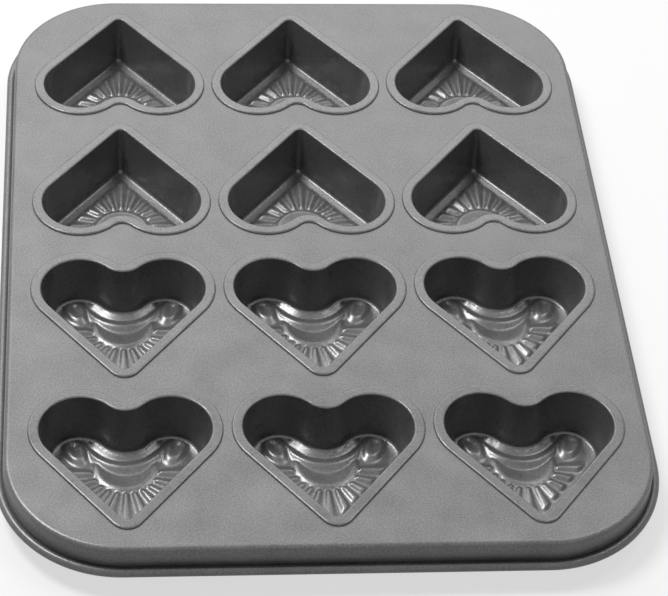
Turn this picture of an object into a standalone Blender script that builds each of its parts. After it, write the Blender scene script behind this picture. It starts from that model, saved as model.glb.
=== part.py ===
"""A muffin pan with twelve heart-shaped cups, modelled in metres with +Z up.

The pan is three kinds of piece. The tray plate is one pressed sheet with a skirt whose lower
edge is curled round a steel wire, and with a collar turned down round each cup. The wire runs
inside that curl. Each heart cup is drawn from its own sheet: a flat flange lies on the plate,
and the wall drops through the plate's collar to a floor with a pressed pattern.

The origin is at the bottom centre of the pan, on the plane of the cup undersides. The two rows
at +Y have their tips towards +Y and the two rows at -Y have their tips towards -Y.
"""
import math

import bmesh
import bpy
import numpy as np
from mathutils import Vector
from mathutils.geometry import delaunay_2d_cdt

# Heart outline of a cup, at the inner face of its wall
LOBE_SPACING = 0.0368
LOBE_RADIUS = 0.0166
CLEFT_RADIUS = 0.0101
CLEFT_SPREAD_SHARE = 1.3
TIP_RADIUS = 0.0029
TIP_RADIUS_LEAST = 0.0018
TIP_HALF_ANGLE = math.radians(39.8)

# Section of a cup
CUP_SHEET = 0.0006
CUP_DEPTH = 0.0224
CUP_DRAFT = math.radians(9.5)
FLANGE_WIDTH = 0.0046
LIP_BEND = 0.0002
FOOT_FILLET = 0.0015
LEDGE_WIDTH = 0.0024
LEDGE_DROP = 0.0009
REST_WIDTH = 0.0010

# Pattern pressed into a cup floor: a bench under the cleft
BENCH_WIDTH = 0.0046
BENCH_HEIGHT = 0.0012
BENCH_HALF_LENGTH = 0.0165
BENCH_RUN_OUT = 0.0040

# A crescent below the bench
CRESCENT_INNER_RADIUS = 0.0200
CRESCENT_OUTER_RADIUS = 0.0162
CRESCENT_OUTER_DROP = 0.0082
CRESCENT_SLOPE = 0.0028
CRESCENT_HEIGHT = 0.0011
CRESCENT_HALF_ANGLE = math.radians(72.0)

# A dish inside a round step
DISH_RADIUS = 0.0128
DISH_CENTRE_DROP = 0.0217
DISH_STEP = 0.0018
DISH_HEIGHT = 0.0012
DISH_FLAT_RADIUS = 0.0040

# An oval ring in each lobe
OVAL_X = 0.0200
OVAL_DROP = 0.0135
OVAL_TURN = math.radians(55.0)
OVAL_HALF_LENGTH = 0.0092
OVAL_HALF_WIDTH = 0.0052
OVAL_HEIGHT = 0.0018
OVAL_CREST_SHARE = 0.6
OVAL_HOLLOW_SHARE = 0.5

# A fan of ribs from the round step to the two straight sides
FAN_CENTRE_DROP = 0.0252
RIB_PITCH = math.radians(18.0)
RIB_PAIRS = 5
RIB_HEIGHT = 0.0008
RIB_RUN_OUT = 0.0020
PATTERN_LIFT = 0.0002

# Layout of the cups
COLUMNS = 3
ROWS = 4
COLUMN_GAP = 0.0033
ROW_GAP = 0.0063
MIDDLE_GAP = 0.0108

# Tray plate
PLATE_SHEET = 0.0007
SIDE_MARGIN = 0.0094
END_MARGIN = 0.0099
PLATE_CORNER_RADIUS = 0.0475
SHOULDER_RADIUS = 0.0020
SKIRT_DROP = 0.0116
SKIRT_FLARE = 0.0007
CURL_END_ANGLE = math.radians(125.0)
COLLAR_BEND = 0.0010
COLLAR_DROP = 0.0026

# Rim wire
WIRE_DIAMETER = 0.0021

# Fits
SEAT_GAP = 0.0003

# Counts of segments
TIP_SEGMENTS = 3
LOBE_SEGMENTS = 8
CLEFT_SEGMENTS = 4
CORNER_SEGMENTS = 8
CURL_SEGMENTS = 6
CRESCENT_SEGMENTS = 8
DISH_SEGMENTS = 8
OVAL_SEGMENTS = 8
RAY_HALVINGS = 40

# Sizes that follow from those above
CUP_WIDTH = LOBE_SPACING + 2 * LOBE_RADIUS
TIP_FROM_LOBES = (
    LOBE_SPACING / 2 * math.cos(TIP_HALF_ANGLE) + LOBE_RADIUS - TIP_RADIUS
) / math.sin(TIP_HALF_ANGLE)
CUP_LENGTH = LOBE_RADIUS + TIP_FROM_LOBES + TIP_RADIUS
LOBE_CENTRE_Y = CUP_LENGTH / 2 - LOBE_RADIUS
CLEFT_CENTRE_Y = LOBE_CENTRE_Y + math.sqrt(
    (LOBE_RADIUS + CLEFT_RADIUS) ** 2 - (LOBE_SPACING / 2) ** 2
)
CLEFT_BOTTOM = CLEFT_CENTRE_Y - LOBE_CENTRE_Y - CLEFT_RADIUS
COLUMN_PITCH = CUP_WIDTH + 2 * FLANGE_WIDTH + COLUMN_GAP
ROW_PITCH = CUP_LENGTH + 2 * FLANGE_WIDTH + ROW_GAP
MIDDLE_PITCH = CUP_LENGTH + 2 * FLANGE_WIDTH + MIDDLE_GAP
PLATE_WIDTH = (COLUMNS - 1) * COLUMN_PITCH + CUP_WIDTH + 2 * (FLANGE_WIDTH + SIDE_MARGIN)
PLATE_LENGTH = (
    (ROWS - 2) * ROW_PITCH + MIDDLE_PITCH + CUP_LENGTH + 2 * (FLANGE_WIDTH + END_MARGIN)
)
LIP_RADIUS = CUP_SHEET + LIP_BEND
FLANGE_TOP = CUP_SHEET + CUP_DEPTH
PLATE_TOP = FLANGE_TOP - CUP_SHEET - SEAT_GAP
HOLE_OFFSET = CUP_SHEET + SEAT_GAP
CURL_INNER_RADIUS = WIRE_DIAMETER / 2 + SEAT_GAP
CURL_CENTRE_OFFSET = SKIRT_FLARE + CURL_INNER_RADIUS
FAN_CENTRE_Y = CLEFT_CENTRE_Y - FAN_CENTRE_DROP
REST_START = LEDGE_WIDTH / math.cos(math.pi / LOBE_SEGMENTS)
REST_END = REST_START + REST_WIDTH
DISH_FOOT_RADIUS = DISH_RADIUS + DISH_STEP / 2


def arc(centre_x, centre_y, radius, start, end, segments):
    """Points along an arc, with both of its ends."""
    angles = [start + (end - start) * i / segments for i in range(segments + 1)]
    return [
        (centre_x + radius * math.cos(a), centre_y + radius * math.sin(a)) for a in angles
    ]


def heart(offset):
    """The heart outline moved outwards by offset, anticlockwise from the left end of the tip."""
    half = LOBE_SPACING / 2
    lobe = LOBE_RADIUS + offset
    tip = max(TIP_RADIUS + offset, TIP_RADIUS_LEAST)
    drop = (half * math.cos(TIP_HALF_ANGLE) + lobe - tip) / math.sin(TIP_HALF_ANGLE)
    bottom = CLEFT_BOTTOM + offset * (CLEFT_SPREAD_SHARE if offset < 0 else 1)
    cleft = (half ** 2 + bottom ** 2 - lobe ** 2) / (lobe - bottom) / 2
    rise = bottom + cleft
    tilt = math.atan2(rise, half)
    quarter = math.pi / 2
    sweep = quarter - TIP_HALF_ANGLE
    points = arc(
        0, LOBE_CENTRE_Y - drop, tip, -quarter - sweep, -quarter + sweep, TIP_SEGMENTS
    )
    points += arc(half, LOBE_CENTRE_Y, lobe, -TIP_HALF_ANGLE, math.pi - tilt, LOBE_SEGMENTS)
    notch = arc(0, LOBE_CENTRE_Y + rise, cleft, -tilt, tilt - math.pi, CLEFT_SEGMENTS)
    points += notch[1:-1]
    points += arc(
        -half, LOBE_CENTRE_Y, lobe, tilt, math.pi + TIP_HALF_ANGLE, LOBE_SEGMENTS
    )
    return points


def rounded_rectangle(offset):
    """The plate outline moved outwards by offset, anticlockwise."""
    radius = PLATE_CORNER_RADIUS + offset
    x = PLATE_WIDTH / 2 - PLATE_CORNER_RADIUS
    y = PLATE_LENGTH / 2 - PLATE_CORNER_RADIUS
    quarter = math.pi / 2
    points = []
    for turn, (sx, sy) in enumerate(((1, 1), (-1, 1), (-1, -1), (1, -1))):
        start = turn * quarter
        points += arc(x * sx, y * sy, radius, start, start + quarter, CORNER_SEGMENTS)
    return points


def cup_profile():
    """The inner face of a cup as (offset from the heart outline, height), from the flange in."""
    wall_top = FLANGE_TOP - LIP_RADIUS
    ledge_tilt = math.atan(LEDGE_DROP / LEDGE_WIDTH)
    fillet_z = CUP_SHEET + LEDGE_DROP + FOOT_FILLET * math.cos(ledge_tilt)
    foot = fillet_z - FOOT_FILLET * math.sin(CUP_DRAFT)
    foot_offset = (foot - wall_top) * math.tan(CUP_DRAFT)
    floor_offset = foot_offset - FOOT_FILLET * (math.cos(CUP_DRAFT) - math.sin(ledge_tilt))
    return [
        (FLANGE_WIDTH, FLANGE_TOP),
        (LIP_RADIUS, FLANGE_TOP),
        (0, wall_top),
        (foot_offset, foot),
        (floor_offset, CUP_SHEET + LEDGE_DROP),
    ]


def edge_distances(points, edge):
    """Distance of each point from a closed outline, and whether it is inside."""
    a = np.array(edge)
    b = np.roll(a, -1, axis=0)
    along = b - a
    to_point = points[:, None, :] - a[None]
    share = np.clip((to_point * along).sum(2) / (along ** 2).sum(1), 0, 1)
    distance = np.linalg.norm(to_point - share[..., None] * along, axis=2).min(1)
    above = (a[:, 1] > points[:, 1:]) != (b[:, 1] > points[:, 1:])
    rise = np.where(along[:, 1] == 0, 1, along[:, 1])
    cross_x = a[:, 0] + along[:, 0] * (points[:, 1:] - a[:, 1]) / rise
    crossings = (above & (points[:, :1] < cross_x)).sum(1)
    return distance, crossings % 2 == 1


def clamp(share):
    """A share kept between 0 and 1."""
    return np.clip(share, 0, 1)


def relief(x, y, edge_distance):
    """Height of the ledge and the pressed pattern above the cup's lowest level."""
    ledge = LEDGE_DROP * clamp(1 - edge_distance / LEDGE_WIDTH)

    bench = BENCH_HEIGHT * clamp(1 - edge_distance / BENCH_WIDTH)
    bench *= clamp((BENCH_HALF_LENGTH - np.abs(x)) / BENCH_RUN_OUT)
    bench *= clamp((y - LOBE_CENTRE_Y + BENCH_RUN_OUT) / BENCH_RUN_OUT)

    drop = CLEFT_CENTRE_Y - y
    outside = np.hypot(x, drop) - CRESCENT_INNER_RADIUS
    inside = CRESCENT_OUTER_RADIUS - np.hypot(x, drop - CRESCENT_OUTER_DROP)
    crescent = CRESCENT_HEIGHT * clamp(np.minimum(outside, inside) / CRESCENT_SLOPE + 1 / 2)

    out = np.hypot(x, drop - DISH_CENTRE_DROP)
    dish_edge = DISH_RADIUS - DISH_STEP / 2
    dish = DISH_HEIGHT * clamp((out - DISH_FLAT_RADIUS) / (dish_edge - DISH_FLAT_RADIUS))
    dish *= clamp((DISH_FOOT_RADIUS - out) / DISH_STEP)
    dish *= clamp(-inside / CRESCENT_SLOPE)

    side = np.abs(x) - OVAL_X
    up = OVAL_DROP - drop
    along = side * math.cos(OVAL_TURN) + up * math.sin(OVAL_TURN)
    across = up * math.cos(OVAL_TURN) - side * math.sin(OVAL_TURN)
    reach = np.hypot(along / OVAL_HALF_LENGTH, across / OVAL_HALF_WIDTH)
    hollow = OVAL_HOLLOW_SHARE * clamp(1 - reach / OVAL_CREST_SHARE)
    oval = OVAL_HEIGHT * clamp((1 - reach) / (1 - OVAL_CREST_SHARE)) * (1 - hollow)

    angle = np.arctan2(x, FAN_CENTRE_Y - y)
    wave = (1 + np.cos(2 * math.pi * angle / RIB_PITCH)) / 2
    wave *= np.abs(angle) < (RIB_PAIRS + 1 / 2) * RIB_PITCH
    fade = clamp((edge_distance - REST_END) / RIB_RUN_OUT)
    fade *= clamp((out - DISH_FOOT_RADIUS) / RIB_RUN_OUT)
    ribs = RIB_HEIGHT * wave * fade

    raised = np.maximum.reduce([ledge, bench, crescent, dish, oval, ribs])
    return raised + PATTERN_LIFT * clamp((edge_distance - REST_END) / RIB_RUN_OUT)


def ray_end(angle, reaches):
    """First distance from the fan's centre, along a ray, where reaches(x, y) holds."""
    near = 0
    far = CUP_LENGTH
    for _ in range(RAY_HALVINGS):
        middle = (near + far) / 2
        if reaches(middle * math.sin(angle), FAN_CENTRE_Y - middle * math.cos(angle)):
            far = middle
        else:
            near = middle
    return far


def oval_line(side, size_share):
    """An ellipse round the middle of a lobe's oval, at a share of the oval's size."""
    cosine = side * math.cos(OVAL_TURN)
    sine = math.sin(OVAL_TURN)
    middle_y = CLEFT_CENTRE_Y - OVAL_DROP
    points = []
    for x, y in arc(0, 0, size_share, 0, 2 * math.pi, OVAL_SEGMENTS)[:-1]:
        along = x * OVAL_HALF_LENGTH
        across = y * OVAL_HALF_WIDTH * side
        points.append((
            side * OVAL_X + along * cosine - across * sine,
            middle_y + along * sine + across * cosine,
        ))
    return points


def rib_lines(edge):
    """The crest of each rib and the valley beside it, from the round step to the rest."""
    lines = []
    for half_pitches in range(-2 * RIB_PAIRS - 1, 2 * RIB_PAIRS + 2):
        angle = half_pitches * RIB_PITCH / 2
        start = ray_end(
            angle,
            lambda x, y: math.hypot(x, CLEFT_CENTRE_Y - DISH_CENTRE_DROP - y) > DISH_FOOT_RADIUS,
        )
        end = ray_end(angle, lambda x, y: not well_inside(x, y, edge, REST_END))
        reaches = [start, end]
        if half_pitches % 2 == 0:
            run_out = min(RIB_RUN_OUT, (end - start) / 3)
            reaches = [start, start + run_out, end - run_out, end]
        if start < end:
            lines.append([
                (reach * math.sin(angle), FAN_CENTRE_Y - reach * math.cos(angle))
                for reach in reaches
            ])
    return lines


def floor_lines(edge):
    """Lines of the pressed pattern, each a list of points and whether it closes."""
    quarter = math.pi / 2
    left = -quarter - CRESCENT_HALF_ANGLE
    right = -quarter + CRESCENT_HALF_ANGLE
    foot = CRESCENT_SLOPE / 2
    inner = arc(0, CLEFT_CENTRE_Y, CRESCENT_INNER_RADIUS - foot, left, right, CRESCENT_SEGMENTS)
    outer = arc(
        0,
        CLEFT_CENTRE_Y - CRESCENT_OUTER_DROP,
        CRESCENT_OUTER_RADIUS + foot,
        left,
        right,
        CRESCENT_SEGMENTS,
    )
    crest_half = (CRESCENT_INNER_RADIUS + CRESCENT_OUTER_RADIUS) / 2
    crest_middle = CRESCENT_OUTER_DROP / 2
    crest_width_share = math.sqrt(1 - (crest_middle / crest_half) ** 2)
    crest = [
        (crest_width_share * x, CLEFT_CENTRE_Y - crest_middle + y)
        for x, y in arc(0, 0, crest_half, left, right, CRESCENT_SEGMENTS)
    ]
    lines = [(inner, False), (crest, False), (outer, False)]
    dish_y = CLEFT_CENTRE_Y - DISH_CENTRE_DROP
    for radius in (DISH_RADIUS - DISH_STEP / 2, DISH_FOOT_RADIUS):
        lines.append((arc(0, dish_y, radius, -2 * quarter, 0, DISH_SEGMENTS), False))
    for side in (-1, 1):
        lines.append((oval_line(side, 1), True))
        lines.append((oval_line(side, OVAL_CREST_SHARE), True))
        lines.append(([(side * OVAL_X, CLEFT_CENTRE_Y - OVAL_DROP)], False))
    return lines + [(line, False) for line in rib_lines(edge)]


def floor_fill(edge, edge_offset):
    """Points and triangles that fill a cup's floor inside the foot of its wall."""
    points = [Vector(p) for p in edge]
    rim = list(range(len(edge)))
    edges = list(zip(rim, rim[1:] + rim[:1]))
    lines = [(heart(edge_offset - inset), True) for inset in (REST_START, REST_END)]
    lines += [
        ([p if well_inside(*p, edge, REST_END + SEAT_GAP) else None for p in line], closes)
        for line, closes in floor_lines(edge)
    ]
    for line, closes in lines:
        kept = []
        for point in line:
            kept.append(None if point is None else len(points))
            if point is not None:
                points.append(Vector(point))
        pairs = list(zip(kept, kept[1:]))
        if closes:
            pairs.append((kept[-1], kept[0]))
        edges += [(a, b) for a, b in pairs if a is not None and b is not None]
    filled = delaunay_2d_cdt(points, edges, [], 0, SEAT_GAP / 1000, True)
    where = np.array([tuple(p) for p in filled[0]])
    centres = np.array([where[list(face)].mean(0) for face in filled[2]])
    kept = edge_distances(centres, edge)[1]
    triangles = [face for face, keep in zip(filled[2], kept) if keep]
    return where, triangles, filled[3]


def well_inside(x, y, edge, margin):
    """Whether a point is inside a closed outline and over margin away from it."""
    distance, inside = edge_distances(np.array([(x, y)]), edge)
    return bool(inside[0]) and distance[0] > margin


def add_rings(surface, rings, outwards):
    """Adds faces through closed rings of points, and returns the vertices of each ring."""
    loops = [[surface.verts.new(p) for p in ring] for ring in rings]
    for first, second in zip(loops, loops[1:]):
        outer, inner = (second, first) if outwards else (first, second)
        count = len(outer)
        for i in range(count):
            j = (i + 1) % count
            surface.faces.new((outer[i], outer[j], inner[j], inner[i]))
    return loops


def finish_mesh(name, surface):
    """Turns a bmesh into mesh data with its faces smooth."""
    mesh = bpy.data.meshes.new(name)
    surface.to_mesh(mesh)
    surface.free()
    mesh.shade_smooth()
    mesh.set_sharp_from_angle(angle=math.radians(40))
    return mesh


def cup_mesh():
    """The inner face of one cup: flange, lip, wall, ledge and pressed floor."""
    profile = cup_profile()
    surface = bmesh.new()
    rings = [[(x, y, z) for x, y in heart(offset)] for offset, z in profile]
    loops = add_rings(surface, rings, False)
    edge_offset = profile[-1][0]
    edge = heart(edge_offset)
    points, faces, sources = floor_fill(edge, edge_offset)
    distance = edge_distances(points, edge)[0]
    heights = CUP_SHEET + relief(points[:, 0], points[:, 1], distance)
    corners = []
    for (x, y), z, source in zip(points, heights, sources):
        on_edge = [i for i in source if i < len(edge)]
        if on_edge:
            corners.append(loops[-1][on_edge[0]])
        else:
            corners.append(surface.verts.new((x, y, z)))
    for face in faces:
        surface.faces.new([corners[i] for i in face])
    surface.normal_update()
    for face in surface.faces:
        if len(face.verts) == 3 and face.normal.z < 0:
            face.normal_flip()
    return finish_mesh("heart_cup", surface)


def rim_profile():
    """The plate's upper face from its flat out, as (offset from its outline, height)."""
    eighth = math.pi / 4
    curl_z = PLATE_TOP - SKIRT_DROP
    profile = [
        (-SHOULDER_RADIUS, PLATE_TOP),
        (
            -SHOULDER_RADIUS * (1 - math.sin(eighth)),
            PLATE_TOP - SHOULDER_RADIUS * (1 - math.cos(eighth)),
        ),
        (0, PLATE_TOP - SHOULDER_RADIUS),
    ]
    turn = math.pi + CURL_END_ANGLE
    profile += arc(
        CURL_CENTRE_OFFSET, curl_z, CURL_INNER_RADIUS, math.pi, math.pi + turn, CURL_SEGMENTS
    )
    return profile


def collar_profile():
    """The plate's upper face from its flat into a hole, as (offset from the heart, height)."""
    straight = COLLAR_DROP - COLLAR_BEND
    return [
        (HOLE_OFFSET + COLLAR_BEND, PLATE_TOP),
        (HOLE_OFFSET, PLATE_TOP - COLLAR_BEND),
        (HOLE_OFFSET - straight * math.tan(CUP_DRAFT), PLATE_TOP - COLLAR_DROP),
    ]


def plate_mesh():
    """The upper face of the tray plate, with its collars, shoulder, skirt and curl."""
    surface = bmesh.new()
    rings = [[(x, y, z) for x, y in rounded_rectangle(offset)] for offset, z in rim_profile()]
    corners = list(add_rings(surface, rings, True)[0])
    outlines = [[point[:2] for point in rings[0]]]
    for _, _, x, y, turned in cup_places():
        turn = -1 if turned else 1
        rings = [
            [(x + turn * px, y + turn * py, z) for px, py in heart(offset)]
            for offset, z in collar_profile()
        ]
        corners += add_rings(surface, rings, False)[0]
        outlines.append([point[:2] for point in rings[0]])
    points = []
    edges = []
    for outline in outlines:
        first = len(points)
        points += [Vector(p) for p in outline]
        ring = list(range(first, len(points)))
        edges += list(zip(ring, ring[1:] + ring[:1]))
    filled = delaunay_2d_cdt(points, edges, [], 0, SEAT_GAP / 1000, True)
    where = np.array([tuple(p) for p in filled[0]])
    centres = np.array([where[list(face)].mean(0) for face in filled[2]])
    kept = edge_distances(centres, outlines[0])[1]
    for outline in outlines[1:]:
        kept &= ~edge_distances(centres, outline)[1]
    for face, keep in zip(filled[2], kept):
        if keep:
            made = surface.faces.new([corners[filled[3][i][0]] for i in face])
            made.normal_update()
            if made.normal.z < 0:
                made.normal_flip()
    return finish_mesh("tray_plate", surface)


def outline_curve(name, points, height):
    """A flat closed curve through points at one height."""
    curve = bpy.data.curves.new(name, "CURVE")
    curve.dimensions = "3D"
    spline = curve.splines.new("POLY")
    spline.points.add(len(points) - 1)
    for point, (x, y) in zip(spline.points, points):
        point.co = (x, y, height, 1)
    spline.use_cyclic_u = True
    return curve


def coat(name, colour, roughness, metallic):
    """A plain surface finish."""
    material = bpy.data.materials.new(name)
    material.use_nodes = True
    shader = material.node_tree.nodes["Principled BSDF"]
    shader.inputs["Base Color"].default_value = (*colour, 1)
    shader.inputs["Roughness"].default_value = roughness
    shader.inputs["Metallic"].default_value = metallic
    material.diffuse_color = (*colour, 1)
    return material


def add_sheet(obj, thickness):
    """Gives an open face its sheet thickness, on the side away from its normals."""
    sheet = obj.modifiers.new("sheet", "SOLIDIFY")
    sheet.thickness = thickness
    sheet.offset = -1
    sheet.use_even_offset = True


def cup_places():
    """(row, column, x, y, turned) of each cup, row 1 at +Y and column 1 at -X."""
    first = MIDDLE_PITCH / 2 + (ROWS / 2 - 1) * ROW_PITCH
    for row in range(ROWS):
        far = row < ROWS / 2
        y = first - row * ROW_PITCH if far else -first + (ROWS - 1 - row) * ROW_PITCH
        for column in range(COLUMNS):
            x = (column - (COLUMNS - 1) / 2) * COLUMN_PITCH
            yield row + 1, column + 1, x, y, far


def main():
    for old in list(bpy.data.objects):
        bpy.data.objects.remove(old)
    pan = bpy.data.collections.new("muffin_pan")
    bpy.context.scene.collection.children.link(pan)

    base = bpy.data.objects.new("muffin_pan", None)
    pan.objects.link(base)

    plate = bpy.data.objects.new("tray_plate", plate_mesh())
    plate.data.materials.append(coat("nonstick_plate", (0.17, 0.17, 0.17), 0.38, 0))
    pan.objects.link(plate)
    plate.parent = base
    add_sheet(plate, PLATE_SHEET)

    wire_path = outline_curve(
        "rim_wire", rounded_rectangle(CURL_CENTRE_OFFSET), PLATE_TOP - SKIRT_DROP
    )
    wire_path.bevel_depth = WIRE_DIAMETER / 2
    wire_path.bevel_resolution = 2
    wire = bpy.data.objects.new("rim_wire", wire_path)
    wire.data.materials.append(coat("rim_steel", (0.35, 0.35, 0.34), 0.35, 1.0))
    pan.objects.link(wire)
    wire.parent = base

    cup = cup_mesh()
    cup.materials.append(coat("nonstick_cup", (0.16, 0.16, 0.16), 0.34, 0))
    for row, column, x, y, turned in cup_places():
        angle = math.pi if turned else 0
        piece = bpy.data.objects.new(f"heart_cup_r{row}c{column}", cup)
        pan.objects.link(piece)
        piece.parent = base
        piece.location = (x, y, 0)
        piece.rotation_euler = (0, 0, angle)
        add_sheet(piece, CUP_SHEET)


main()
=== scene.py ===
"""Looks of the muffin pan: fine sheet-metal pieces with their coats, and a pale studio."""
import math

import bmesh
import bpy
import numpy as np
from mathutils import Matrix, Vector
from mathutils.geometry import delaunay_2d_cdt


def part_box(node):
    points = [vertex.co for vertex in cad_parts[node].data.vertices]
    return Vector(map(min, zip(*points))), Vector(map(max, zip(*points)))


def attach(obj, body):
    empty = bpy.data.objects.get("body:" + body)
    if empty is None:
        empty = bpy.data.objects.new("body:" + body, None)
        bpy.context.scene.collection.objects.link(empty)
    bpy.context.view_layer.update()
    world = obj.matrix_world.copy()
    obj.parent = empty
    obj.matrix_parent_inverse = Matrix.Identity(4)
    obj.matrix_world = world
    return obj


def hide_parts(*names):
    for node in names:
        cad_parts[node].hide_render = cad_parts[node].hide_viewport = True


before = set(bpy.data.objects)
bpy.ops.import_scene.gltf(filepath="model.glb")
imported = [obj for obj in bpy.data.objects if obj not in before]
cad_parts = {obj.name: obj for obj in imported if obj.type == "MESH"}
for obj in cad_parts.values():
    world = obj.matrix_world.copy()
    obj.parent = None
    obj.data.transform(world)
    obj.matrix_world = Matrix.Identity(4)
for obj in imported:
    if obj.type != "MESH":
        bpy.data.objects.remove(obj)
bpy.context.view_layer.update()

# Heart outline of a cup, at the inner face of its wall
LOBE_SPACING = 0.0368
LOBE_RADIUS = 0.0166
CLEFT_RADIUS = 0.0101
CLEFT_SPREAD_SHARE = 1.3
TIP_RADIUS = 0.0029
TIP_RADIUS_LEAST = 0.0018
TIP_HALF_ANGLE = math.radians(39.8)

# Section of a cup
CUP_SHEET = 0.0006
CUP_DRAFT = math.radians(9.5)
FLANGE_WIDTH = 0.0046
LIP_BEND = 0.0002
EDGE_BEND = 0.0008
EDGE_TURN = math.radians(88.0)
FOOT_FILLET = 0.0015
LEDGE_WIDTH = 0.0024
LEDGE_DROP = 0.0004
LEDGE_ROUNDING = 1.3
REST_END = 0.0030
CREASE_BAND = 0.0003
FLOOR_GRID = 0.0007

# Pattern pressed into a cup floor: a bench under the cleft
BENCH_WIDTH = 0.0046
BENCH_HEIGHT = 0.0016
BENCH_RISE = 0.0016
BENCH_HALF_LENGTH = 0.0165
BENCH_RUN_OUT = 0.0040

# A crescent below the bench
CRESCENT_INNER_RADIUS = 0.0200
CRESCENT_OUTER_RADIUS = 0.0162
CRESCENT_OUTER_DROP = 0.0082
CRESCENT_SLOPE = 0.0044
CRESCENT_HEIGHT = 0.0015

# A dish inside a round step
DISH_RADIUS = 0.0128
DISH_CENTRE_DROP = 0.0217
DISH_STEP = 0.0034
DISH_HEIGHT = 0.0010
DISH_FLAT_RADIUS = 0.0040

# An oval ring in each lobe
OVAL_X = 0.0208
OVAL_DROP = 0.0128
OVAL_TURN = math.radians(68.0)
OVAL_HALF_LENGTH = 0.0100
OVAL_HALF_WIDTH = 0.0056
OVAL_HEIGHT = 0.0013
OVAL_CREST_SHARE = 0.5
OVAL_HOLLOW_SHARE = 0.6

# A fan of ribs from the round step to the two straight sides
FAN_CENTRE_DROP = 0.0252
RIB_PITCH = math.radians(18.0)
RIB_PAIRS = 5
RIB_HEIGHT = 0.0010
RIB_RUN_OUT = 0.0020
PATTERN_LIFT = 0.0002

# Layout
COLUMNS = 3
ROWS = 4
COLUMN_GAP = 0.0033
ROW_GAP = 0.0063
MIDDLE_GAP = 0.0108

# Tray plate and rim
PLATE_SHEET = 0.0007
SIDE_MARGIN = 0.0094
END_MARGIN = 0.0099
PLATE_CORNER_RADIUS = 0.0475
SHOULDER_RADIUS = 0.0020
SKIRT_DROP = 0.0116
CURL_END_ANGLE = math.radians(140.0)
SEAT_GAP = 0.0003
COLLAR_BEND = 0.0010
COLLAR_DROP = 0.0026

# Counts of segments
TIP_SEGMENTS = 10
LOBE_SEGMENTS = 44
CLEFT_SEGMENTS = 18
CORNER_SEGMENTS = 36
SHOULDER_SEGMENTS = 6
CURL_SEGMENTS = 30
LIP_SEGMENTS = 6
EDGE_SEGMENTS = 4
COLLAR_SEGMENTS = 4
FILLET_SEGMENTS = 6
WIRE_RESOLUTION = 4

# Least turn of an edge that shows as sharp
SHARP_ANGLE = math.radians(40.0)

# Sizes that follow from those above
CUP_WIDTH = LOBE_SPACING + 2 * LOBE_RADIUS
CUP_LENGTH = LOBE_RADIUS + TIP_RADIUS + (
    LOBE_SPACING / 2 * math.cos(TIP_HALF_ANGLE) + LOBE_RADIUS - TIP_RADIUS
) / math.sin(TIP_HALF_ANGLE)
LOBE_CENTRE_Y = CUP_LENGTH / 2 - LOBE_RADIUS
CLEFT_CENTRE_Y = LOBE_CENTRE_Y + math.sqrt(
    (LOBE_RADIUS + CLEFT_RADIUS) ** 2 - (LOBE_SPACING / 2) ** 2
)
CLEFT_BOTTOM = CLEFT_CENTRE_Y - LOBE_CENTRE_Y - CLEFT_RADIUS
COLUMN_PITCH = CUP_WIDTH + 2 * FLANGE_WIDTH + COLUMN_GAP
ROW_PITCH = CUP_LENGTH + 2 * FLANGE_WIDTH + ROW_GAP
MIDDLE_PITCH = CUP_LENGTH + 2 * FLANGE_WIDTH + MIDDLE_GAP
PLATE_WIDTH = (COLUMNS - 1) * COLUMN_PITCH + CUP_WIDTH + 2 * (FLANGE_WIDTH + SIDE_MARGIN)
PLATE_LENGTH = (
    (ROWS - 2) * ROW_PITCH + MIDDLE_PITCH + CUP_LENGTH + 2 * (FLANGE_WIDTH + END_MARGIN)
)
LIP_RADIUS = CUP_SHEET + LIP_BEND
HOLE_OFFSET = CUP_SHEET + SEAT_GAP
MERGE_DISTANCE = SEAT_GAP / 1000

# Heights and reach taken from the frame
PLATE_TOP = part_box("tray_plate")[1].z
FLANGE_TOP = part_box("heart_cup_r1c1")[1].z
RIM_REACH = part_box("tray_plate")[1].x - PLATE_WIDTH / 2
ROLL_RADIUS = RIM_REACH / 2
WIRE_RADIUS = ROLL_RADIUS - PLATE_SHEET - SEAT_GAP

# Camera, as its place from the middle of the plate's top, its turn, and its lens in pixels
CAMERA_PLACE = (-0.09257, -0.69335, 0.70053)
CAMERA_ELEVATION = math.radians(46.506)
CAMERA_AZIMUTH = math.radians(6.428)
CAMERA_ROLL = math.radians(4.248)
FOCAL_PIXELS = 2255.1
SHIFT_PIXELS = 60.0
IMAGE_WIDTH_PIXELS = 668
SENSOR_MM = 36.0
CLIP_START = 0.01
CLIP_END = 20.0

# Coats
PLATE_SHADE = 0.165
CUP_SHADE = 0.160
PLATE_ROUGHNESS = 0.36
CUP_ROUGHNESS = 0.28
ROUGHNESS_SPREAD = 0.03
COAT_METAL = 0.3
MOTTLE_SCALE = 60.0
MOTTLE_DETAIL = 3.0
MOTTLE_ROUGHNESS = 0.55
MOTTLE_SPREAD = 0.2
FLECK_SCALE = 1400.0
FLECK_DETAIL = 2.0
FLECK_ROUGHNESS = 0.6
FLECK_SHARE = 0.7
FLECK_SPREAD = 0.15
FLECK_CONTRAST = 0.3
PEEL_SCALE = 700.0
PEEL_DETAIL = 2.0
PEEL_ROUGHNESS = 0.5
PEEL_STRENGTH = 0.25
PEEL_DEPTH = 0.00012

# Bare wire
WIRE_COLOUR = (0.35, 0.35, 0.34)
WIRE_ROUGHNESS = 0.35
STREAK_SCALE = 900.0
STREAK_DETAIL = 2.0
STREAK_ROUGHNESS = 0.6
STREAK_DARK_SHARE = 0.8

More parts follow.
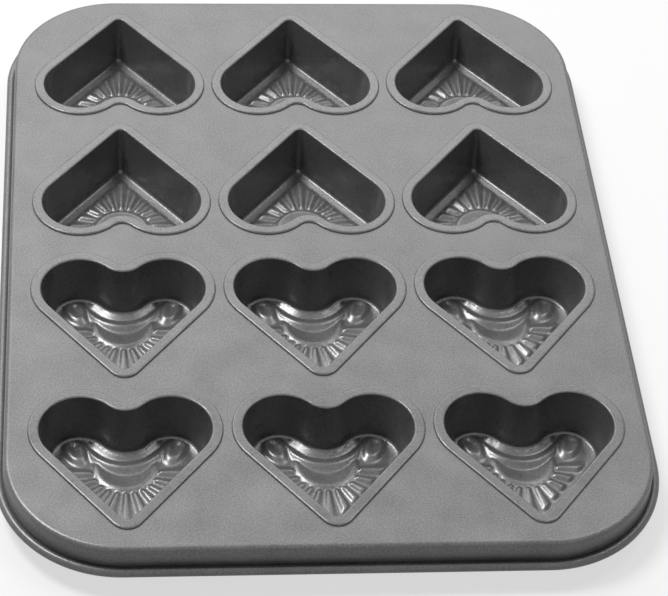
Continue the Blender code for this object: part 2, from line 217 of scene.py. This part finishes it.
# Studio
FLOOR_HALF = 4.0
FLOOR_SEGMENTS = 8
FLOOR_DROP = SEAT_GAP / 3
FLOOR_SHADE = 0.35
FLOOR_GLOW = 0.65
FLOOR_BOUNCE = 0.3
WORLD_LEVEL = 0.08
BACK_LAMP_PLACE = (-0.28, 1.90, 1.56)
BACK_LAMP_WIDTH = 2.6
BACK_LAMP_HEIGHT = 1.1
BACK_LAMP_POWER = 22.0
LEFT_LAMP_PLACE = (-0.66, 0.46, 1.60)
LEFT_LAMP_WIDTH = 0.5
LEFT_LAMP_POWER = 20.0
RIGHT_LAMP_PLACE = (0.66, 0.46, 1.56)
RIGHT_LAMP_WIDTH = 0.5
RIGHT_LAMP_POWER = 4.0


def arc(centre_x, centre_y, radius, start, end, segments):
    """Points along an arc, with both of its ends."""
    angles = np.linspace(start, end, segments + 1)
    return [
        (centre_x + radius * math.cos(a), centre_y + radius * math.sin(a)) for a in angles
    ]


def heart(offset):
    """The heart outline moved outwards by offset, anticlockwise from the left end of the tip."""
    half = LOBE_SPACING / 2
    lobe = LOBE_RADIUS + offset
    tip = max(TIP_RADIUS + offset, TIP_RADIUS_LEAST)
    drop = (half * math.cos(TIP_HALF_ANGLE) + lobe - tip) / math.sin(TIP_HALF_ANGLE)
    bottom = CLEFT_BOTTOM + offset * (CLEFT_SPREAD_SHARE if offset < 0 else 1)
    cleft = (half ** 2 + bottom ** 2 - lobe ** 2) / (lobe - bottom) / 2
    rise = bottom + cleft
    tilt = math.atan2(rise, half)
    quarter = math.pi / 2
    sweep = quarter - TIP_HALF_ANGLE
    points = arc(
        0, LOBE_CENTRE_Y - drop, tip, -quarter - sweep, -quarter + sweep, TIP_SEGMENTS
    )
    points += arc(half, LOBE_CENTRE_Y, lobe, -TIP_HALF_ANGLE, math.pi - tilt, LOBE_SEGMENTS)
    notch = arc(0, LOBE_CENTRE_Y + rise, cleft, -tilt, tilt - math.pi, CLEFT_SEGMENTS)
    points += notch[1:-1]
    points += arc(
        -half, LOBE_CENTRE_Y, lobe, tilt, math.pi + TIP_HALF_ANGLE, LOBE_SEGMENTS
    )
    return points


def rounded_rectangle(offset):
    """The plate outline moved outwards by offset, anticlockwise."""
    radius = PLATE_CORNER_RADIUS + offset
    x = PLATE_WIDTH / 2 - PLATE_CORNER_RADIUS
    y = PLATE_LENGTH / 2 - PLATE_CORNER_RADIUS
    quarter = math.pi / 2
    points = []
    for turn, (sx, sy) in enumerate(((1, 1), (-1, 1), (-1, -1), (1, -1))):
        start = turn * quarter
        points += arc(x * sx, y * sy, radius, start, start + quarter, CORNER_SEGMENTS)
    return points


def cup_profile():
    """The inner face of a cup as (offset from the heart outline, height), from the flange in."""
    wall_top = FLANGE_TOP - LIP_RADIUS
    edge_start = FLANGE_WIDTH - EDGE_BEND * math.sin(EDGE_TURN)
    profile = arc(
        edge_start,
        FLANGE_TOP - EDGE_BEND,
        EDGE_BEND,
        math.pi / 2 - EDGE_TURN,
        math.pi / 2,
        EDGE_SEGMENTS,
    )
    profile.append((edge_start - CREASE_BAND, FLANGE_TOP))
    profile.append((LIP_RADIUS + CREASE_BAND, FLANGE_TOP))
    profile += arc(LIP_RADIUS, wall_top, LIP_RADIUS, math.pi / 2, math.pi, LIP_SEGMENTS)
    ledge_tilt = math.atan(LEDGE_ROUNDING * LEDGE_DROP / LEDGE_WIDTH)
    centre_z = CUP_SHEET + LEDGE_DROP + FOOT_FILLET * math.cos(ledge_tilt)
    foot = centre_z - FOOT_FILLET * math.sin(CUP_DRAFT)
    for height in (wall_top - CREASE_BAND, foot + CREASE_BAND):
        profile.append(((height - wall_top) * math.tan(CUP_DRAFT), height))
    centre = (foot - wall_top) * math.tan(CUP_DRAFT) - FOOT_FILLET * math.cos(CUP_DRAFT)
    profile += arc(
        centre, centre_z, FOOT_FILLET, -CUP_DRAFT, ledge_tilt - math.pi / 2, FILLET_SEGMENTS
    )
    return profile


def edge_distances(points, edge):
    """Distance of each point from a closed outline, and whether it is inside."""
    a = np.array(edge)
    b = np.roll(a, -1, axis=0)
    along = b - a
    to_point = points[:, None, :] - a[None]
    lengths = (along ** 2).sum(1)
    share = np.clip((to_point * along).sum(2) / lengths, 0, 1)
    distance = np.linalg.norm(to_point - share[..., None] * along, axis=2).min(1)
    above = (a[:, 1] > points[:, 1:]) != (b[:, 1] > points[:, 1:])
    rise = np.where(along[:, 1] == 0, 1, along[:, 1])
    cross_x = a[:, 0] + along[:, 0] * (points[:, 1:] - a[:, 1]) / rise
    crossings = (above & (points[:, :1] < cross_x)).sum(1)
    return distance, crossings % 2 == 1


def ease(share):
    """A smooth step from 0 to 1."""
    t = np.clip(share, 0, 1)
    return t * t * (3 - 2 * t)


def swell(share):
    """A smooth rise and fall, 1 at share 0 and 0 from share 1 on."""
    return (1 + np.cos(math.pi * np.clip(share, 0, 1))) / 2


def relief(x, y, edge_distance):
    """Height of the ledge and the pressed pattern above the cup's lowest level."""
    ledge = LEDGE_DROP * np.clip(1 - edge_distance / LEDGE_WIDTH, 0, 1) ** LEDGE_ROUNDING

    bench = BENCH_HEIGHT * np.clip(1 - edge_distance / BENCH_WIDTH, 0, 1) ** LEDGE_ROUNDING
    bench *= ease((edge_distance + BENCH_RISE / 2) / BENCH_RISE)
    bench *= ease((BENCH_HALF_LENGTH - np.abs(x)) / BENCH_RUN_OUT)
    bench *= ease((y - LOBE_CENTRE_Y + BENCH_RUN_OUT) / BENCH_RUN_OUT)

    drop = CLEFT_CENTRE_Y - y
    outside = np.hypot(x, drop) - CRESCENT_INNER_RADIUS
    inside = CRESCENT_OUTER_RADIUS - np.hypot(x, drop - CRESCENT_OUTER_DROP)
    crescent = CRESCENT_HEIGHT * ease(np.minimum(outside, inside) / CRESCENT_SLOPE + 1 / 2)

    out = np.hypot(x, drop - DISH_CENTRE_DROP)
    dish = DISH_HEIGHT * ease((out - DISH_FLAT_RADIUS) / (DISH_RADIUS - DISH_FLAT_RADIUS) / 2)
    dish *= 2 * ease((DISH_RADIUS - out) / DISH_STEP + 1 / 2)
    dish *= ease(1 / 2 - inside / CRESCENT_SLOPE)

    side = np.abs(x) - OVAL_X
    up = OVAL_DROP - drop
    along = side * math.cos(OVAL_TURN) + up * math.sin(OVAL_TURN)
    across = up * math.cos(OVAL_TURN) - side * math.sin(OVAL_TURN)
    reach = np.hypot(along / OVAL_HALF_LENGTH, across / OVAL_HALF_WIDTH)
    hollow = OVAL_HOLLOW_SHARE * swell(reach / OVAL_CREST_SHARE)
    outer = ease((1 - reach) / (1 - OVAL_CREST_SHARE))
    oval = OVAL_HEIGHT * outer * (1 - hollow)

    fan_drop = drop - FAN_CENTRE_DROP
    angle = np.arctan2(x, fan_drop)
    wave = (1 + np.cos(2 * math.pi * angle / RIB_PITCH)) / 2
    fade = ease((edge_distance - REST_END) / RIB_RUN_OUT)
    fade *= ease((out - DISH_RADIUS) / RIB_RUN_OUT)
    fade *= np.abs(angle) < (RIB_PAIRS + 1 / 2) * RIB_PITCH
    ribs = RIB_HEIGHT * wave * fade

    raised = np.maximum.reduce([ledge, bench, crescent, dish, oval, ribs])
    return raised + PATTERN_LIFT * ease((edge_distance - REST_END) / RIB_RUN_OUT)


def floor_grid(edge):
    """Points of a triangular grid inside an outline."""
    outline = np.array(edge)
    low = outline.min(0)
    high = outline.max(0)
    row_step = FLOOR_GRID * math.sqrt(3) / 2
    grid = []
    for row, y in enumerate(np.arange(low[1], high[1], row_step)):
        shift = FLOOR_GRID / 2 * (row % 2)
        grid += [(x, y) for x in np.arange(low[0] + shift, high[0], FLOOR_GRID)]
    grid = np.array(grid)
    distance, inside = edge_distances(grid, edge)
    return list(grid[inside & (distance > FLOOR_GRID / 2)])


def fill(outlines, loose):
    """Fills the first outline but for the others, through the loose points: its points, its
    triangles, and the given points that each point stands for."""
    points = []
    edges = []
    for outline in outlines:
        ring = list(range(len(points), len(points) + len(outline)))
        points += outline
        edges += list(zip(ring, ring[1:] + ring[:1]))
    points = [Vector(p) for p in points + loose]
    where, _, faces, sources, *_ = delaunay_2d_cdt(points, edges, [], 0, MERGE_DISTANCE, True)
    where = np.array([tuple(p) for p in where])
    centres = np.array([where[list(face)].mean(0) for face in faces])
    kept = edge_distances(centres, outlines[0])[1]
    for outline in outlines[1:]:
        kept &= ~edge_distances(centres, outline)[1]
    return where, [face for face, keep in zip(faces, kept) if keep], sources


def add_rings(surface, rings, outwards):
    """Adds faces through closed rings of points, and returns the vertices of each ring."""
    loops = [[surface.verts.new(p) for p in ring] for ring in rings]
    for first, second in zip(loops, loops[1:]):
        outer, inner = (second, first) if outwards else (first, second)
        count = len(outer)
        for i in range(count):
            j = (i + 1) % count
            surface.faces.new((outer[i], outer[j], inner[j], inner[i]))
    return loops


def finish_mesh(name, surface):
    """Turns a bmesh into mesh data."""
    mesh = bpy.data.meshes.new(name)
    surface.to_mesh(mesh)
    surface.free()
    return mesh


def cup_mesh():
    """The inner face of one cup."""
    profile = cup_profile()
    rings = [[(x, y, z) for x, y in heart(offset)] for offset, z in profile]
    surface = bmesh.new()
    loops = add_rings(surface, rings, False)
    edge = heart(profile[-1][0])
    points, faces, sources = fill([edge], floor_grid(edge))
    distance = edge_distances(points, edge)[0]
    heights = CUP_SHEET + relief(points[:, 0], points[:, 1], distance)
    corners = []
    for (x, y), z, source in zip(points, heights, sources):
        on_edge = [i for i in source if i < len(edge)]
        if on_edge:
            corners.append(loops[-1][on_edge[0]])
        else:
            corners.append(surface.verts.new((x, y, z)))
    for face in faces:
        surface.faces.new([corners[i] for i in face])
    surface.normal_update()
    for face in surface.faces:
        if len(face.verts) == 3 and face.normal.z < 0:
            face.normal_flip()
    return finish_mesh("heart_cup", surface)


def hole_profile():
    """The upper face round a hole as (offset from the heart outline, height), from the flat in."""
    bend = HOLE_OFFSET + COLLAR_BEND
    profile = [(bend + CREASE_BAND, PLATE_TOP)]
    profile += arc(
        bend, PLATE_TOP - COLLAR_BEND, COLLAR_BEND, math.pi / 2, math.pi, COLLAR_SEGMENTS
    )
    straight = COLLAR_DROP - COLLAR_BEND
    profile.append((HOLE_OFFSET - straight * math.tan(CUP_DRAFT), PLATE_TOP - COLLAR_DROP))
    return profile


def rim_profile():
    """The upper face outside the flat as (offset from the plate outline, height), going out."""
    profile = [(-SHOULDER_RADIUS - CREASE_BAND, PLATE_TOP)]
    profile += arc(
        -SHOULDER_RADIUS,
        PLATE_TOP - SHOULDER_RADIUS,
        SHOULDER_RADIUS,
        math.pi / 2,
        0,
        SHOULDER_SEGMENTS,
    )
    roll_z = PLATE_TOP - SKIRT_DROP
    half_step = (math.pi + CURL_END_ANGLE) / CURL_SEGMENTS / 2
    inner = ROLL_RADIUS - PLATE_SHEET / math.cos(half_step)
    roll = arc(ROLL_RADIUS, roll_z, inner, math.pi, 2 * math.pi + CURL_END_ANGLE, CURL_SEGMENTS)
    profile.append((0, PLATE_TOP - SHOULDER_RADIUS - CREASE_BAND))
    profile.append((roll[0][0], roll_z + CREASE_BAND))
    return profile + roll


def plate_mesh():
    """The upper face of the tray plate with its holes, shoulder, skirt and roll."""
    rings = [[(x, y, z) for x, y in rounded_rectangle(offset)] for offset, z in rim_profile()]
    surface = bmesh.new()
    loops = add_rings(surface, rings, True)
    corners = list(loops[0])
    outlines = [rounded_rectangle(rim_profile()[0][0])]
    for _, _, x, y, turned in cup_places():
        turn = -1 if turned else 1
        rings = [
            [(x + turn * px, y + turn * py, z) for px, py in heart(offset)]
            for offset, z in hole_profile()
        ]
        loops = add_rings(surface, rings, False)
        corners += loops[0]
        outlines.append([point[:2] for point in rings[0]])
    _, faces, sources = fill(outlines, [])
    for face in faces:
        made = surface.faces.new([corners[sources[i][0]] for i in face])
        made.normal_update()
        if made.normal.z < 0:
            made.normal_flip()
    return finish_mesh("tray_plate", surface)


def add_sheet(obj, thickness):
    """Gives an open face its thickness, on the side away from its normals, and shades it."""
    sheet = obj.modifiers.new("sheet", "SOLIDIFY")
    sheet.thickness = thickness
    sheet.offset = -1
    sheet.use_even_offset = True
    graph = bpy.context.evaluated_depsgraph_get()
    mesh = bpy.data.meshes.new_from_object(obj.evaluated_get(graph))
    mesh.shade_smooth()
    mesh.set_sharp_from_angle(angle=SHARP_ANGLE)
    obj.modifiers.clear()
    obj.data = mesh


def cup_places():
    """(row, column, x, y, turned) of each cup, row 1 at +Y and column 1 at -X."""
    first = MIDDLE_PITCH / 2 + (ROWS / 2 - 1) * ROW_PITCH
    for row in range(ROWS):
        far = row < ROWS / 2
        y = first - row * ROW_PITCH if far else -first + (ROWS - 1 - row) * ROW_PITCH
        for column in range(COLUMNS):
            x = (column - (COLUMNS - 1) / 2) * COLUMN_PITCH
            yield row + 1, column + 1, x, y, far


def add_piece(name, data, material, slot, *nodes):
    """Links a piece to the scene in place of CAD nodes."""
    piece = bpy.data.objects.new(name, data)
    bpy.context.scene.collection.objects.link(piece)
    data.materials.clear()
    data.materials.append(material)
    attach(piece, "root")
    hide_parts(*nodes)
    return piece


def node(tree, kind, inputs=None, **settings):
    """A shader node with its settings, and its inputs as values or links."""
    made = tree.nodes.new(kind)
    for key, value in settings.items():
        setattr(made, key, value)
    for key, value in (inputs or {}).items():
        socket = made.inputs[key]
        if isinstance(value, bpy.types.NodeSocket):
            tree.links.new(value, socket)
        else:
            socket.default_value = value
    return made


def noise(tree, place, scale, detail, roughness):
    """The grey of a noise texture."""
    inputs = {"Vector": place, "Scale": scale, "Detail": detail, "Roughness": roughness}
    return node(tree, "ShaderNodeTexNoise", inputs).outputs["Fac"]


def ramp(tree, grey, low, high, spread):
    """A colour that goes from low to high where the grey is within spread of a half."""
    made = node(tree, "ShaderNodeValToRGB", {"Fac": grey})
    first, last = made.color_ramp.elements
    first.position = 1 / 2 - spread
    first.color = (*low, 1)
    last.position = 1 / 2 + spread
    last.color = (*high, 1)
    return made.outputs["Color"]


def new_material(name, metallic):
    """A material, its node tree, its shader and the coordinates of the piece that has it."""
    material = bpy.data.materials.new(name)
    material.use_nodes = True
    tree = material.node_tree
    shader = tree.nodes["Principled BSDF"]
    shader.inputs["Metallic"].default_value = metallic
    return material, tree, shader, node(tree, "ShaderNodeTexCoord").outputs["Object"]


def coat(name, shade, roughness):
    """A grey non-stick coat with fine flecks, a faint mottle and a slight orange peel."""
    material, tree, shader, place = new_material(name, COAT_METAL)
    mottle = noise(tree, place, MOTTLE_SCALE, MOTTLE_DETAIL, MOTTLE_ROUGHNESS)
    flecks = noise(tree, place, FLECK_SCALE, FLECK_DETAIL, FLECK_ROUGHNESS)
    mixed = node(tree, "ShaderNodeMix", {"Factor": FLECK_SHARE, "A": mottle, "B": flecks})
    low = [shade * (1 - FLECK_CONTRAST)] * 3
    high = [shade * (1 + FLECK_CONTRAST)] * 3
    colour = ramp(tree, mixed.outputs["Result"], low, high, FLECK_SPREAD)
    tree.links.new(colour, shader.inputs["Base Color"])
    gloss = node(
        tree,
        "ShaderNodeMapRange",
        {
            "Value": mottle,
            "From Min": 1 / 2 - MOTTLE_SPREAD,
            "From Max": 1 / 2 + MOTTLE_SPREAD,
            "To Min": roughness - ROUGHNESS_SPREAD,
            "To Max": roughness + ROUGHNESS_SPREAD,
        },
    )
    tree.links.new(gloss.outputs["Result"], shader.inputs["Roughness"])
    peel = noise(tree, place, PEEL_SCALE, PEEL_DETAIL, PEEL_ROUGHNESS)
    inputs = {"Height": peel, "Strength": PEEL_STRENGTH, "Distance": PEEL_DEPTH}
    bump = node(tree, "ShaderNodeBump", inputs)
    tree.links.new(bump.outputs["Normal"], shader.inputs["Normal"])
    return material


def drawn_steel(name):
    """Bare drawn wire with fine grey streaks."""
    material, tree, shader, place = new_material(name, 1)
    streaks = noise(tree, place, STREAK_SCALE, STREAK_DETAIL, STREAK_ROUGHNESS)
    dark = [STREAK_DARK_SHARE * level for level in WIRE_COLOUR]
    colour = ramp(tree, streaks, dark, WIRE_COLOUR, 1 / 2)
    tree.links.new(colour, shader.inputs["Base Color"])
    shader.inputs["Roughness"].default_value = WIRE_ROUGHNESS
    return material


def build_pan():
    """All pieces of the pan."""
    plate_coat = coat("nonstick_plate", PLATE_SHADE, PLATE_ROUGHNESS)
    cup_coat = coat("nonstick_cup", CUP_SHADE, CUP_ROUGHNESS)
    steel = drawn_steel("rim_steel")

    plate = add_piece("tray_plate_fine", plate_mesh(), plate_coat, "nonstick_plate", "tray_plate")
    add_sheet(plate, PLATE_SHEET)

    path = bpy.data.curves.new("rim_wire_fine", "CURVE")
    path.dimensions = "3D"
    outline = rounded_rectangle(ROLL_RADIUS)
    spline = path.splines.new("POLY")
    spline.points.add(len(outline) - 1)
    for point, (x, y) in zip(spline.points, outline):
        point.co = (x, y, PLATE_TOP - SKIRT_DROP, 1)
    spline.use_cyclic_u = True
    path.bevel_depth = WIRE_RADIUS
    path.bevel_resolution = WIRE_RESOLUTION
    add_piece("rim_wire_fine", path, steel, "rim_steel", "rim_wire")

    pattern = cup_mesh()
    for row, column, x, y, turned in cup_places():
        name = f"heart_cup_r{row}c{column}"
        place = Matrix.Translation((x, y, 0)) @ Matrix.Rotation(math.pi if turned else 0, 4, "Z")
        mesh = pattern.copy()
        mesh.transform(place)
        cup = add_piece(name + "_fine", mesh, cup_coat, "nonstick_cup", name)
        add_sheet(cup, CUP_SHEET)


def background_share(tree):
    """1 for rays that show the background, as seen directly, in gloss or through glass."""
    path = node(tree, "ShaderNodeLightPath")
    camera_or_gloss = node(
        tree,
        "ShaderNodeMath",
        {0: path.outputs["Is Camera Ray"], 1: path.outputs["Is Glossy Ray"]},
        operation="MAXIMUM",
    )
    return node(
        tree,
        "ShaderNodeMath",
        {0: camera_or_gloss.outputs[0], 1: path.outputs["Is Transmission Ray"]},
        operation="MAXIMUM",
    ).outputs[0]


def build_studio():
    """A pale floor, a pale world, and one wide and two small soft lamps behind the pan."""
    surface = bmesh.new()
    bmesh.ops.create_grid(
        surface, x_segments=FLOOR_SEGMENTS, y_segments=FLOOR_SEGMENTS, size=FLOOR_HALF
    )
    mesh = finish_mesh("studio_floor", surface)
    floor = bpy.data.objects.new("studio_floor", mesh)
    bpy.context.scene.collection.objects.link(floor)
    floor.location = (0, 0, -FLOOR_DROP)

    material = bpy.data.materials.new("studio_floor")
    material.use_nodes = True
    tree = material.node_tree
    tree.nodes.clear()
    seen = node(tree, "ShaderNodeBsdfDiffuse", {"Color": (*[FLOOR_SHADE] * 3, 1)})
    glow = node(tree, "ShaderNodeEmission", {"Strength": FLOOR_GLOW})
    white = node(tree, "ShaderNodeAddShader", {0: seen.outputs[0], 1: glow.outputs[0]})
    bounce = node(tree, "ShaderNodeBsdfDiffuse", {"Color": (*[FLOOR_BOUNCE] * 3, 1)})
    mixed = node(
        tree,
        "ShaderNodeMixShader",
        {0: background_share(tree), 1: bounce.outputs[0], 2: white.outputs[0]},
    )
    node(tree, "ShaderNodeOutputMaterial", {"Surface": mixed.outputs[0]})
    mesh.materials.append(material)

    world = bpy.data.worlds.new("studio")
    bpy.context.scene.world = world
    world.use_nodes = True
    tree = world.node_tree
    tree.nodes.clear()
    strength = node(
        tree,
        "ShaderNodeMapRange",
        {"Value": background_share(tree), "To Min": WORLD_LEVEL, "To Max": 1.0},
    )
    sky = node(
        tree,
        "ShaderNodeBackground",
        {"Color": (1, 1, 1, 1), "Strength": strength.outputs["Result"]},
    )
    node(tree, "ShaderNodeOutputWorld", {"Surface": sky.outputs[0]})

    add_lamp("back_lamp", BACK_LAMP_PLACE, BACK_LAMP_WIDTH, BACK_LAMP_HEIGHT, BACK_LAMP_POWER)
    add_lamp("left_lamp", LEFT_LAMP_PLACE, LEFT_LAMP_WIDTH, LEFT_LAMP_WIDTH, LEFT_LAMP_POWER)
    add_lamp(
        "right_lamp", RIGHT_LAMP_PLACE, RIGHT_LAMP_WIDTH, RIGHT_LAMP_WIDTH, RIGHT_LAMP_POWER
    )


def add_lamp(name, place, width, height, power):
    """A soft lamp that points at the pan."""
    light = bpy.data.lights.new(name, "AREA")
    light.shape = "RECTANGLE"
    light.size = width
    light.size_y = height
    light.energy = power
    lamp = bpy.data.objects.new(name, light)
    bpy.context.scene.collection.objects.link(lamp)
    lamp.location = place
    lamp.rotation_euler = (-Vector(place)).to_track_quat("-Z", "Y").to_euler()


def build_camera():
    """The camera at the photograph's viewpoint."""
    forward = Vector(
        (
            math.sin(CAMERA_AZIMUTH) * math.cos(CAMERA_ELEVATION),
            math.cos(CAMERA_AZIMUTH) * math.cos(CAMERA_ELEVATION),
            -math.sin(CAMERA_ELEVATION),
        )
    )
    right = Vector((math.cos(CAMERA_AZIMUTH), -math.sin(CAMERA_AZIMUTH), 0))
    up = right.cross(forward)
    across = math.cos(CAMERA_ROLL) * right + math.sin(CAMERA_ROLL) * up
    upright = math.cos(CAMERA_ROLL) * up - math.sin(CAMERA_ROLL) * right
    turn = Matrix((across, upright, -forward)).transposed().to_4x4()
    place = Vector(CAMERA_PLACE) + Vector((0, 0, PLATE_TOP))
    lens = bpy.data.cameras.new("camera")
    lens.sensor_fit = "HORIZONTAL"
    lens.sensor_width = SENSOR_MM
    lens.lens = FOCAL_PIXELS / IMAGE_WIDTH_PIXELS * SENSOR_MM
    lens.shift_x = SHIFT_PIXELS / IMAGE_WIDTH_PIXELS
    lens.clip_start = CLIP_START
    lens.clip_end = CLIP_END
    camera = bpy.data.objects.new("camera", lens)
    bpy.context.scene.collection.objects.link(camera)
    camera.matrix_world = Matrix.Translation(place) @ turn
    bpy.context.scene.camera = camera


build_camera()
build_pan()
build_studio()
bpy.context.scene.view_settings.view_transform = "Standard"
